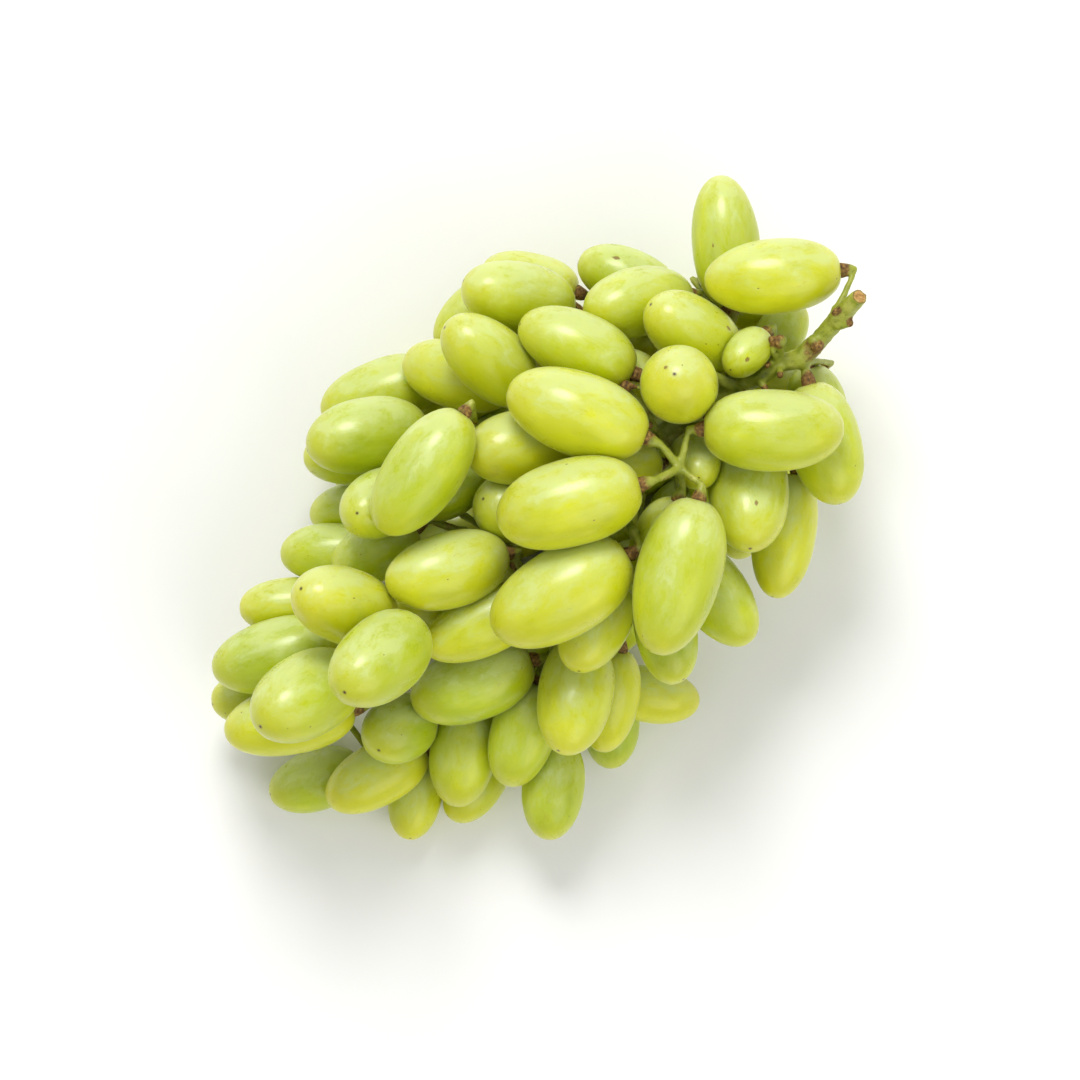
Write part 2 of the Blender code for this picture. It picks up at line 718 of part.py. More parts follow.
def make_stems(stems, bark, collection):
    pieces = []
    for k, run in enumerate(stems.runs):
        points, radii = thin_out([stems.place[i] for i in run], [stems.radius[i] for i in run])
        in_sight = k == 0 or (points[0][0] > STEMS_SHOW and points[0][2] > CORE_HEIGHT)
        pieces.append(tube_piece(f"stem_{k}", points, radii, collection, 1 if in_sight else 0))
    for k in stems.forks:
        pieces.append(knob_piece(f"knob_{k}", stems.place[k], collection))
    fuse(pieces, "stems", bark, "MANIFOLD")


def centre_on_origin(collection):
    """Puts the middle of the bunch's footprint over the origin."""
    corners = [v.co for piece in collection.objects for v in piece.data.vertices]
    middle_x = (min(c.x for c in corners) + max(c.x for c in corners)) / 2
    middle_y = (min(c.y for c in corners) + max(c.y for c in corners)) / 2
    for piece in collection.objects:
        piece.data.transform(Matrix.Translation((-middle_x, -middle_y, 0.0)))


def build():
    clear_scene()
    grapes = bpy.data.collections.new("bunch_of_grapes")
    bpy.context.scene.collection.children.link(grapes)
    skin = material("grape_skin", (0.55, 0.68, 0.10), 0.4)
    bark = material("green_stalk", (0.28, 0.25, 0.06), 0.7)
    berries, stems = layout()
    for branch in range(berries.branches.max() + 1):
        make_branch(branch, berries, skin, grapes)
    make_stems(stems, bark, grapes)
    centre_on_origin(grapes)


if __name__ == "__main__":
    build()
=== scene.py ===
import math

import bmesh
import bpy
import numpy as np
from mathutils import Matrix, Vector, kdtree, noise


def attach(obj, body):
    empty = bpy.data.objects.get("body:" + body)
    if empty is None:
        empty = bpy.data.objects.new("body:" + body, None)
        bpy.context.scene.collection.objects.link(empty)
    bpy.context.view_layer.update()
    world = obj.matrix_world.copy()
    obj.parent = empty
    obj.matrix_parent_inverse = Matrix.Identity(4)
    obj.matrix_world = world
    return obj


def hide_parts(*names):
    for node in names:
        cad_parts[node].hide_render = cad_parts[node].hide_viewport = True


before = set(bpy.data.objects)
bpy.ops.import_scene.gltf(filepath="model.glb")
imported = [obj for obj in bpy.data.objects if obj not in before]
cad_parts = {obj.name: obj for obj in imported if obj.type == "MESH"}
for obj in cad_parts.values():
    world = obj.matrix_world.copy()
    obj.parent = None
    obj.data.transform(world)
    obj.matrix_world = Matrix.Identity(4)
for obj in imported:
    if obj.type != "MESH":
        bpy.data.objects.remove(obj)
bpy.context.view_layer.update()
mm = 0.001
mergeWithin = 0.001 * mm
berryNodes = sorted(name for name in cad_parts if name.startswith("berries"))
print("frame loaded:", len(berryNodes), "branches of berries")


def rgb(hexColour):
    channels = [int(hexColour[k:k + 2], 16) / 255 for k in (1, 3, 5)]
    linear = [c / 12.92 if c <= 0.04045 else ((c + 0.055) / 1.055) ** 2.4 for c in channels]
    return (linear[0], linear[1], linear[2], 1.0)


def addNode(tree, kind, settings=None, give=0, **inputs):
    # i0, i1 ... are sockets by number, other names are sockets by name
    node = tree.nodes.new(kind)
    for key, value in (settings or {}).items():
        if key == "stops":
            ramp = node.color_ramp
            ramp.interpolation = "EASE"
            ramp.elements.remove(ramp.elements[-1])
            for k, (place, colour) in enumerate(value):
                stop = ramp.elements[0] if k == 0 else ramp.elements.new(place)
                stop.position = place
                grey = not isinstance(colour, str)
                stop.color = (colour, colour, colour, 1.0) if grey else rgb(colour)
        else:
            setattr(node, key, value)
    for key, value in inputs.items():
        numbered = key[0] == "i" and key[1:].isdigit()
        socket = node.inputs[int(key[1:]) if numbered else key]
        if isinstance(value, bpy.types.NodeSocket):
            tree.links.new(value, socket)
        else:
            socket.default_value = value
    return node.outputs[give]


def newMaterial(name):
    made = bpy.data.materials.new(name)
    made.use_nodes = True
    return made, made.node_tree, made.node_tree.nodes["Principled BSDF"]


def newPiece(name, bm, material):
    mesh = bpy.data.meshes.new(name)
    bm.to_mesh(mesh)
    bm.free()
    piece = bpy.data.objects.new(name, mesh)
    bpy.context.scene.collection.objects.link(piece)
    mesh.materials.append(material)
    mesh.shade_smooth()
    return piece


# the berries' places, read back from the solids

reading = {
    "seam": math.radians(-1.0),    # an edge more hollow than this is where two berries press
    "onSurface": 0.05 * mm,        # how far a corner may stand off the oval that it is fitted to
    "fewest": 14,                  # corners that a berry needs to be read
    "tries": 12,
    "kept": 0.85,                  # share of the corners that the next try keeps
    "floor": 0.01 * mm,            # corners under this height are on a resting spot
    "unit": 10 * mm,               # keeps the numbers of the fit near 1
}


# centre, long axis, half length and half width of the oval through the points
def fitOval(points):
    middle = points.mean(0)
    unit = reading["unit"]
    p = (points - middle) / unit
    kept = np.ones(len(p), bool)
    for attempt in range(reading["tries"]):
        q = p[kept]
        x, y, z = q[:, 0], q[:, 1], q[:, 2]
        columns = np.stack([x * x, y * y, z * z, x * y, x * z, y * z, x, y, z], 1)
        k = np.linalg.lstsq(columns, np.ones(len(q)), rcond=None)[0]
        form = np.array([[k[0], k[3] / 2, k[4] / 2], [k[3] / 2, k[1], k[5] / 2],
                         [k[4] / 2, k[5] / 2, k[2]]])
        centre = -0.5 * np.linalg.solve(form, k[6:9])
        level = 1 + centre @ form @ centre
        values, vectors = np.linalg.eigh(form / level)
        if values.min() <= 0:
            return None
        local = (p - centre) @ vectors * np.sqrt(values)
        reach = np.abs(np.linalg.norm(local, axis=1) - 1) / np.sqrt(values.max()) * unit
        worst = reach[kept].max()
        if worst < reading["onSurface"] or kept.sum() <= reading["fewest"]:
            break
        kept = reach < max(np.quantile(reach[kept], reading["kept"]), 0.2 * reading["onSurface"])
        if kept.sum() < reading["fewest"]:
            break
    halves = 1 / np.sqrt(values) * unit
    return {
        "centre": Vector(centre * unit + middle),
        "axis": Vector(vectors[:, 0]),
        "length": float(halves[0]),
        "width": float((halves[1] + halves[2]) / 2),
        "error": float(worst),
        "uneven": float(abs(halves[1] - halves[2])),
    }


# cuts a branch's solid apart at its seams and fits an oval to each part
def readBerries(name):
    bm = bmesh.new()
    bm.from_mesh(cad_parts[name].data)
    bmesh.ops.remove_doubles(bm, verts=bm.verts, dist=mergeWithin)
    seams = [e for e in bm.edges
             if len(e.link_faces) != 2 or e.calc_face_angle_signed(0.0) < reading["seam"]]
    bmesh.ops.split_edges(bm, edges=seams)
    found = []
    done = set()
    for start in bm.verts:
        if start in done:
            continue
        done.add(start)
        group = [start]
        for v in group:
            for e in v.link_edges:
                other = e.other_vert(v)
                if other not in done:
                    done.add(other)
                    group.append(other)
        points = np.array([v.co for v in group if v.co.z > reading["floor"]])
        if len(points) < reading["fewest"]:
            continue
        berry = fitOval(points)
        if berry is None or berry["error"] > 4 * reading["onSurface"]:
            print("a berry in", name, "was not read well", len(points), berry and berry["error"])
        if berry is not None:
            found.append(berry)
    bm.free()
    return found


stemPoints = kdtree.KDTree(len(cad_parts["stems"].data.vertices))
for number, vertex in enumerate(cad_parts["stems"].data.vertices):
    stemPoints.insert(vertex.co, number)
stemPoints.balance()

# the cut end faces this way, and the corners furthest along it are its ring
cutWay = Vector((0.569, 0.122, 0.813)).normalized()
ringDepth = 0.05 * mm
stemCorners = [v.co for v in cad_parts["stems"].data.vertices]
furthest = max(corner.dot(cutWay) for corner in stemCorners)
cutRing = [corner for corner in stemCorners if corner.dot(cutWay) > furthest - ringDepth]
cutCentre = sum(cutRing, Vector()) / len(cutRing)
# twigs and blemishes are placed in millimetres that put the cut end here
cutEndPlace = Vector((75.5, -0.2, 52.0))
placedFrom = cutCentre - cutEndPlace * mm

# each long axis runs from the stem end to the blossom end
branches = {}
for name in berryNodes:
    branches[name] = readBerries(name)
    for berry in branches[name]:
        ends = [berry["centre"] + berry["axis"] * berry["length"] * s for s in (-1, 1)]
        if stemPoints.find(ends[1])[2] < stemPoints.find(ends[0])[2]:
            berry["axis"] = -berry["axis"]
        berry["gap"] = min(stemPoints.find(e)[2] for e in ends)
allBerries = [berry for name in berryNodes for berry in branches[name]]
print("berries read:", len(allBerries),
      "worst fit mm", round(max(b["error"] for b in allBerries) / mm, 3),
      "uneven mm", round(max(b["uneven"] for b in allBerries) / mm, 3),
      "farthest stem mm", round(max(b["gap"] for b in allBerries) / mm, 2))


# berries: one fine piece for each branch, each berry a long soft oval pressed by its neighbours

berryShape = {
    "around": 36,             # faces round a berry, and from end to end
    "along": 26,
    "plump": 1.02,            # the fine berries fill the gaps that the solids keep between them
    "fullness": 2.2,          # over 2 is straighter along the middle than a plain oval
    "fullnessSpread": 0.12,
    "bluntness": 2.06,        # over 2 has blunter ends
    "stemDimple": 0.55 * mm,  # depth and radius of the dimple round the stem
    "stemDimpleRadius": 1.9 * mm,
    "tipDimple": 0.07 * mm,
    "tipDimpleRadius": 0.8 * mm,
    "lumps": 0.030,           # how far the skin swells and sinks, as a share of the width
    "lump": 1.1,              # lumps to a berry
    "bend": 0.06,
    "bendCentre": 0.4,        # keeps a bent berry where it was
    "taper": 0.06,            # the blossom end is this much slimmer, times a draw from the range
    "taperRange": (0.2, 1.4),
    "tipLean": 0.22,          # how far the blossom dot stands off the axis
    "markRange": (-2.5, 1.0),    # a berry that draws less than 0 has no scuff
    "markSize": 0.08,
    "pressGap": 0.03 * mm,    # left between two skins that press
    "pressDeepest": 0.3,      # share of the way out that a pressed skin always keeps
    "halvings": 12,           # steps that find where two skins push equally
    "seed": 100,
    "paintedLightSide": (0.40, 0.57, 0.72),    # the skin is painted paler on this side as painted light, where the key lamp stands
    # sizes of the patterns in the skin
    "halfWidth": 8.4 * mm,    # of a usual berry, because the patterns are drawn on a ball of 1
    "patches": 6.0 * mm,
    "cloud": 4.0 * mm,
    "veins": 1.4 * mm,
    "veinLength": 10.5 * mm,
    "smudges": 2.4706 * mm,
    "specks": 2.0 * mm,
    "grit": 0.525 * mm,
    "pores": 0.32308 * mm,
}


# adds the berry's own bend, taper and fullness to what was read from the solids
def growBerry(berry, number):
    dice = np.random.default_rng(berryShape["seed"] + number)
    turn = Vector((0, 0, 1)).rotation_difference(berry["axis"]).to_matrix()
    spin = Matrix.Rotation(dice.uniform(0, 2 * math.pi), 3, "Z")
    berry["number"] = number
    berry["turn"] = np.array(turn @ spin)
    berry["middle"] = np.array(berry["centre"])
    berry["half"] = berry["length"] * (1 + (berryShape["plump"] - 1) * 0.5)
    berry["wide"] = berry["width"] * berryShape["plump"]
    berry["bend"] = berryShape["bend"] * dice.uniform(-1, 1)
    berry["taper"] = berryShape["taper"] * dice.uniform(*berryShape["taperRange"])
    spread = berryShape["fullnessSpread"]
    berry["fullness"] = berryShape["fullness"] + dice.uniform(-spread, spread)
    berry["shift"] = Vector(dice.uniform(-50, 50, 3))    # its own part of the noise
    berry["tone"] = dice.uniform(0, 1)
    lean = dice.uniform(-berryShape["tipLean"], berryShape["tipLean"], 2)
    berry["tip"] = Vector((lean[0], lean[1], 1.0)).normalized()
    berry["mark"] = Vector(dice.normal(0, 1, 3)).normalized()
    berry["markSize"] = max(0.0, dice.uniform(*berryShape["markRange"])) * berryShape["markSize"]


# world places of points given on the unit ball, before the berry is pressed
def skinPoints(berry, units):
    nearPole = 1e-4
    flat = np.hypot(units[:, 0], units[:, 1])
    swell = np.maximum(0.0, 1 - np.abs(units[:, 2]) ** berry["fullness"])
    swell = swell ** (1 / berryShape["bluntness"])
    ratio = np.where(flat > nearPole, swell / np.maximum(flat, nearPole), 0.0)
    ratio = ratio * (1 - berry["taper"] * units[:, 2])
    lumps = np.array([noise.noise(Vector(u) * berryShape["lump"] + berry["shift"]) for u in units])
    ratio = ratio * (1 + lumps * berryShape["lumps"])
    local = np.empty_like(units)
    local[:, 0] = units[:, 0] * ratio * berry["wide"]
    local[:, 0] += berry["bend"] * berry["wide"] * (units[:, 2] ** 2 - berryShape["bendCentre"])
    local[:, 1] = units[:, 1] * ratio * berry["wide"]
    local[:, 2] = units[:, 2] * berry["half"]
    across = flat * ratio * berry["wide"]
    stemEnd = berryShape["stemDimple"] * np.exp(-(across / berryShape["stemDimpleRadius"]) ** 2)
    tipEnd = berryShape["tipDimple"] * np.exp(-(across / berryShape["tipDimpleRadius"]) ** 2)
    local[:, 2] += np.where(units[:, 2] < 0, stemEnd, -tipEnd)
    return local @ berry["turn"].T + berry["middle"]


# 1 on the berry's skin, less inside it
def depthIn(berry, points):
    local = (points - berry["middle"]) @ berry["turn"]
    along = local[:, 2] / berry["half"]
    x = local[:, 0] - berry["bend"] * berry["wide"] * (along ** 2 - berryShape["bendCentre"])
    across = np.hypot(x, local[:, 1]) / (berry["wide"] * (1 - berry["taper"] * along))
    blunt = berryShape["bluntness"]
    return (across ** blunt + np.abs(along) ** berry["fullness"]) ** (1 / blunt)


# draws the skin back to where the neighbours' skins push as hard as it does
def pressBerry(berry, points):
    middle = berry["middle"]
    ways = points - middle
    reach = np.ones(len(points))
    for other in allBerries:
        apart = np.linalg.norm(other["middle"] - middle)
        if other is berry or apart > berry["half"] + other["half"] + mm:
            continue
        low = np.full(len(points), berryShape["pressDeepest"])
        high = np.ones(len(points))
        pressed = depthIn(other, points) < depthIn(berry, points)
        for halving in range(berryShape["halvings"]):
            share = (low + high) / 2
            tried = middle + ways * share[:, None]
            outside = depthIn(other, tried) < depthIn(berry, tried)
            high = np.where(outside, share, high)
            low = np.where(outside, low, share)
        reach = np.where(pressed, np.minimum(reach, low), reach)
    back = np.where(reach < 1, berryShape["pressGap"], 0.0)
    length = np.linalg.norm(ways, axis=1)
    pressed = middle + ways * (reach - back / length)[:, None]
    pressed[:, 2] = np.maximum(pressed[:, 2], 0.0)
    return pressed


# adds a berry to its branch, with what its skin is painted from
def fineBerry(target, berry):
    made = bmesh.ops.create_uvsphere(target, u_segments=berryShape["around"],
                                     v_segments=berryShape["along"], radius=1.0)
    layers = target.verts.layers
    units = np.array([v.co for v in made["verts"]])
    points = pressBerry(berry, skinPoints(berry, units))
    for v, unit, point in zip(made["verts"], units, points):
        v.co = point
        v[layers.float_vector["berryPlace"]] = Vector(unit)
        v[layers.float_vector["berryTip"]] = berry["tip"]
        v[layers.float_vector["berryMark"]] = berry["mark"]
        v[layers.float["markSize"]] = berry["markSize"]
        v[layers.float["berryTone"]] = berry["tone"]
        v[layers.float["berryNumber"]] = float(berry["number"])


# blemishes that show from above: along and across in millimetres, and size as a share of half
# the berry's width
blemishes = [
    (42.7, 34.4, 0.085),
    (59.6, 25.1, 0.045),
    (36.9, 10.1, 0.06),
    (51.6, 2.4, 0.11),
    (29.7, -10.4, 0.10),
]


# gives each blemish to the highest berry over its place
def placeBlemishes():
    for along, across, size in blemishes:
        spot = np.array(placedFrom) + np.array([along, across, 0.0]) * mm
        best = None
        for berry in allBerries:
            scale = np.array([berry["wide"], berry["wide"], berry["half"]])
            start = (spot - berry["middle"]) @ berry["turn"] / scale
            way = np.array([0.0, 0.0, 1.0]) @ berry["turn"] / scale
            a, b, c = way @ way, start @ way, start @ start - 1
            if b * b > a * c:
                height = (-b + math.sqrt(b * b - a * c)) / a
                if best is None or height > best[0]:
                    best = (height, berry, Vector(start + way * height))
        if best is not None:
            best[1]["mark"] = best[2].normalized()
            best[1]["markSize"] = size


def grapeSkin():
    # table grape skin: thin, waxy and half see-through over pale wet flesh, so light glows in it
    made, tree, skin = newMaterial("waxyGrapeSkin")
    s = berryShape
    ball = s["halfWidth"]
    blend = {"data_type": "RGBA"}
    place = addNode(tree, "ShaderNodeAttribute", {"attribute_name": "berryPlace"}, "Vector")
    tip = addNode(tree, "ShaderNodeAttribute", {"attribute_name": "berryTip"}, "Vector")
    mark = addNode(tree, "ShaderNodeAttribute", {"attribute_name": "berryMark"}, "Vector")
    markSize = addNode(tree, "ShaderNodeAttribute", {"attribute_name": "markSize"}, "Fac")
    tone = addNode(tree, "ShaderNodeAttribute", {"attribute_name": "berryTone"}, "Fac")
    number = addNode(tree, "ShaderNodeAttribute", {"attribute_name": "berryNumber"}, "Fac")
    # each berry reads its own part of every pattern
    offset = addNode(tree, "ShaderNodeMath", {"operation": "MULTIPLY"}, i0=number, i1=7.31)
    apart = addNode(tree, "ShaderNodeCombineXYZ", X=offset, Y=offset, Z=offset)
    own = addNode(tree, "ShaderNodeVectorMath", {"operation": "ADD"}, i0=place, i1=apart)
    lengthwise = addNode(tree, "ShaderNodeSeparateXYZ", None, 2, i0=place)

    # slow changes of colour over the skin, several to a berry
    patches = addNode(tree, "ShaderNodeTexNoise", Vector=own, Scale=ball / s["patches"],
                      Detail=4.0, Roughness=0.55)
    green = addNode(tree, "ShaderNodeValToRGB", i0=patches, settings={"stops": [
        (0.28, "#A2B602"), (0.5, "#AEC004"), (0.72, "#BCCA0A")]})
    yellow = addNode(tree, "ShaderNodeValToRGB", i0=patches, settings={"stops": [
        (0.28, "#C2C602"), (0.5, "#CDD004"), (0.72, "#D8DA0E")]})
    colour = addNode(tree, "ShaderNodeMix", blend, 2, i0=tone, i6=green, i7=yellow)
    # the stem end stays greener and paler than the rest, the blossom end is yellower
    toTip = addNode(tree, "ShaderNodeMath", {"operation": "MULTIPLY_ADD"}, i0=lengthwise, i1=0.5,
                    i2=0.5)
    ends = addNode(tree, "ShaderNodeValToRGB", i0=toTip, settings={"stops": [
        (0.0, 0.45), (0.2, 0.0), (0.7, 0.0), (1.0, 0.4)]})
    colour = addNode(tree, "ShaderNodeMix", blend, 2, i0=ends, i6=colour, i7=rgb("#C8C433"))
    # veins under the skin run from end to end and show faintly
    across = ball / s["veins"]
    drawn = addNode(tree, "ShaderNodeVectorMath", {"operation": "MULTIPLY"}, i0=own,
                    i1=(across, across, ball / s["veinLength"]))
    veins = addNode(tree, "ShaderNodeTexNoise", Vector=drawn, Scale=1.0, Detail=3.0,
                    Roughness=0.55, Distortion=0.4)
    veinMask = addNode(tree, "ShaderNodeValToRGB", i0=veins, settings={"stops": [
        (0.48, 0.0), (0.62, 0.08), (0.78, 0.2)]})
    colour = addNode(tree, "ShaderNodeMix", blend, 2, i0=veinMask, i6=colour,
                     i7=rgb("#D0DA50"))
    # bloom and painted light: thin pale wax rubbed thin in cloudy patches, and the skin painted
    # paler on the side turned to the key lamp as painted light
    cloud = addNode(tree, "ShaderNodeTexNoise", Vector=own, Scale=ball / s["cloud"], Detail=7.0,
                    Roughness=0.68, Distortion=0.3)
    # painted light: how far the skin faces the key lamp's side
    facing = addNode(tree, "ShaderNodeNewGeometry", None, "Normal")
    facing = addNode(tree, "ShaderNodeVectorMath", {"operation": "DOT_PRODUCT"}, "Value",
                     i0=facing, i1=s["paintedLightSide"])
    uneven = addNode(tree, "ShaderNodeMath", {"operation": "MULTIPLY_ADD"}, i0=cloud, i1=1.7,
                     i2=-0.85)
    facing = addNode(tree, "ShaderNodeMath", {"operation": "ADD"}, i0=facing, i1=uneven)
    bloomAndPaintedLight = addNode(tree, "ShaderNodeValToRGB", i0=facing, settings={"stops": [
        (0.15, 0.0), (0.5, 0.08), (0.75, 0.3), (1.0, 0.68)]})
    colour = addNode(tree, "ShaderNodeMix", blend, 2, i0=bloomAndPaintedLight, i6=colour,
                     i7=rgb("#D0DC98"))
    # painted rim light: the outermost rim, where the skin turns edge-on, is painted pale as light
    # coming through it
    slant = addNode(tree, "ShaderNodeLayerWeight", None, 1, Blend=0.5)
    rim = addNode(tree, "ShaderNodeValToRGB", i0=slant, settings={"stops": [
        (0.8, 0.0), (1.0, 0.5)]})
    colour = addNode(tree, "ShaderNodeMix", blend, 2, i0=rim, i6=colour,
                     i7=rgb("#EEF4B8"))
    # faint tan smudges where the skin was rubbed
    rubbed = addNode(tree, "ShaderNodeTexNoise", Vector=own, Scale=ball / s["smudges"], Detail=5.0,
                     Roughness=0.7)
    smudge = addNode(tree, "ShaderNodeValToRGB", i0=rubbed, settings={"stops": [
        (0.6, 0.0), (0.78, 0.4)]})
    colour = addNode(tree, "ShaderNodeMix", blend, 2, i0=smudge, i6=colour,
                     i7=rgb("#A89A30"))
    # pin specks of brown, a few to a berry: one in ten cells of the pattern has a speck
    cells = {"feature": "F1"}
    specks = ball / s["specks"]
    spots = addNode(tree, "ShaderNodeTexVoronoi", cells, "Distance", Vector=own, Scale=specks,
                    Randomness=1.0)
    spotPick = addNode(tree, "ShaderNodeTexVoronoi", cells, "Color", Vector=own, Scale=specks,
                       Randomness=1.0)
    spotMask = addNode(tree, "ShaderNodeValToRGB", i0=spots, settings={"stops": [
        (0.05, 0.8), (0.11, 0.0)]})
    picked = addNode(tree, "ShaderNodeSeparateColor", i0=spotPick)
    picked = addNode(tree, "ShaderNodeMath", {"operation": "GREATER_THAN"}, i0=picked, i1=0.9)
    spotMask = addNode(tree, "ShaderNodeMath", {"operation": "MULTIPLY"}, i0=spotMask, i1=picked)
    colour = addNode(tree, "ShaderNodeMix", blend, 2, i0=spotMask, i6=colour, i7=rgb("#77661C"))
    # the dry dot of the old flower near the blossom end, fading out at its edge
    away = addNode(tree, "ShaderNodeVectorMath", {"operation": "DISTANCE"}, "Value", i0=place,
                   i1=tip)
    dot = addNode(tree, "ShaderNodeValToRGB", i0=away, settings={"stops": [
        (0.022, 1.0), (0.04, 0.4), (0.075, 0.0)]})
    colour = addNode(tree, "ShaderNodeMix", blend, 2, i0=dot, i6=colour, i7=rgb("#4E3008"))
    # a scuff or scab here and there, ragged at its edge
    away = addNode(tree, "ShaderNodeVectorMath", {"operation": "DISTANCE"}, "Value", i0=place,
                   i1=mark)
    grit = addNode(tree, "ShaderNodeTexNoise", Vector=own, Scale=ball / s["grit"], Detail=3.0)
    ragged = addNode(tree, "ShaderNodeMath", {"operation": "MULTIPLY_ADD"}, i0=grit, i1=0.09,
                     i2=-0.045)
    away = addNode(tree, "ShaderNodeMath", {"operation": "ADD"}, i0=away, i1=ragged)
    near = addNode(tree, "ShaderNodeMath", {"operation": "SUBTRACT"}, i0=markSize, i1=away)
    scab = addNode(tree, "ShaderNodeValToRGB", i0=near, settings={"stops": [
        (0.0, 0.0), (0.03, 0.75)]})
    colour = addNode(tree, "ShaderNodeMix", blend, 2, i0=scab, i6=colour, i7=rgb("#7A4A16"))
    tree.links.new(colour, skin.inputs["Base Color"])

    # where the wax is thick the gloss is dull, where it is rubbed the skin shines
    gloss = addNode(tree, "ShaderNodeValToRGB", i0=cloud, settings={"stops": [
        (0.35, 0.26), (0.65, 0.46)]})
    tree.links.new(gloss, skin.inputs["Roughness"])
    pores = addNode(tree, "ShaderNodeTexNoise", Vector=own, Scale=ball / s["pores"], Detail=3.0)
    pores = addNode(tree, "ShaderNodeMath", {"operation": "MULTIPLY"}, i0=pores, i1=0.6)
    height = addNode(tree, "ShaderNodeMath", {"operation": "MULTIPLY_ADD"}, i0=veins, i1=0.5,
                     i2=pores)
    bump = addNode(tree, "ShaderNodeBump", Strength=0.3, Distance=0.25 * mm, Height=height)
    tree.links.new(bump, skin.inputs["Normal"])
    skin.inputs["IOR"].default_value = 1.38
    skin.inputs["Subsurface Weight"].default_value = 0.85
    skin.inputs["Subsurface Radius"].default_value = (1.0, 0.85, 0.2)
    skin.inputs["Subsurface Scale"].default_value = 7.0 * mm
    skin.inputs["Coat Weight"].default_value = 0.42
    skin.inputs["Coat Roughness"].default_value = 0.24
    skin.inputs["Sheen Weight"].default_value = 0.07
    skin.inputs["Sheen Roughness"].default_value = 0.55
    skin.inputs["Sheen Tint"].default_value = rgb("#F2F8D8")
    return made


for number, berry in enumerate(allBerries):
    growBerry(berry, number)
placeBlemishes()
skinMaterial = grapeSkin()
for name in berryNodes:
    bm = bmesh.new()
    for layer in ("berryPlace", "berryTip", "berryMark"):
        bm.verts.layers.float_vector.new(layer)
    for layer in ("markSize", "berryTone", "berryNumber"):
        bm.verts.layers.float.new(layer)
    for berry in branches[name]:
        fineBerry(bm, berry)
    piece = newPiece("grapes" + name[len("berries"):], bm, skinMaterial)
    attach(piece, "root")
    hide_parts(name)
print("berries made:", len(allBerries))


# stalk: the solid stems rounded like green wood, with the seats, buds and scars that they carry

stalkShape = {
    "voxel": 0.39 * mm,       # 0.36 takes the piece past 200,000 triangles
    "rounding": 3,
    "fatter": 0.10 * mm,      # given back after the rounding, which thins the stems
    "grain": 0.07 * mm,       # height of the grain, and the size that it repeats at
    "grainSize": 1.4286 * mm,
    "knots": 0.28 * mm,       # height of the corky patches, and their size
    "knotSize": 6.6667 * mm,
    "seatRadius": 1.6 * mm,   # the flared ring that holds each berry
    "seatHeight": 1.9 * mm,
    "seatSink": 0.25 * mm,    # the ring stands this deep in the berry's dimple
    "ringHeight": 1.0 * mm,
    "ringTop": 0.86,          # radii of the ring's top and of the neck's foot, as shares
    "neckFoot": 0.8,          # both of the seat's radius
    "neckRadius": 0.8 * mm,
    "brownSeat": 1.9 * mm,    # how far the brown reaches round a seat and round a twig's tip
    "brownTip": 1.25 * mm,
    "cutBack": 0.25 * mm,     # the end is cut square this far back
    "cutRim": 0.35 * mm,
    # sizes of the patterns in the rind
    "blotches": 3.3333 * mm,
    "flecks": 0.66667 * mm,
}

# buds, pegs and twigs that lost their berries: along, across and height of their points in
# millimetres, radius at the root and at the tip, and radius of the knob at the tip
twigs = [
    ([(71.2, -1.6, 46.3), (72.7, -3.5, 46.9)], 0.95, 0.7, 0.0),
    ([(70.9, -0.2, 46.8), (71.2, 0.4, 48.4)], 0.7, 0.4, 0.6),
    ([(64.9, -2.6, 42.3), (64.6, -4.1, 43.6)], 1.05, 0.95, 0.0),
    ([(58.4, -0.8, 41.5), (59.1, 1.6, 44.6)], 0.75, 0.7, 1.35),
    ([(57.2, -1.4, 41.0), (56.4, 1.0, 43.4), (56.5, 3.4, 43.0)], 0.55, 0.4, 0.65),
    ([(56.3, -2.2, 40.5), (55.2, -4.0, 43.0)], 0.7, 0.6, 0.0),
    ([(52.2, -2.2, 40.0), (51.6, -4.8, 41.6)], 0.8, 0.65, 0.0),
    ([(48.5, -1.4, 38.5), (48.0, -3.2, 40.6)], 0.7, 0.6, 0.75),
    ([(54.0, -1.2, 40.5), (53.9, 0.6, 42.6)], 0.6, 0.45, 0.6),
    ([(46.8, 0.0, 38.5), (45.0, 4.6, 40.5), (43.6, 6.6, 39.0)], 1.15, 0.9, 0.0),
    ([(30.0, 2.0, 37.0), (29.6, 7.5, 43.5), (29.0, 12.5, 46.5)], 0.6, 0.5, 1.15),
    ([(29.5, 2.0, 38.0), (28.3, 3.0, 45.0)], 0.55, 0.45, 0.85),
    ([(28.5, 0.8, 42.0), (26.4, 1.2, 46.0)], 0.55, 0.45, 0.9),
    ([(29.6, 7.5, 43.5), (31.2, 9.6, 46.5), (29.8, 11.4, 47.5)], 0.5, 0.35, 0.0),
]


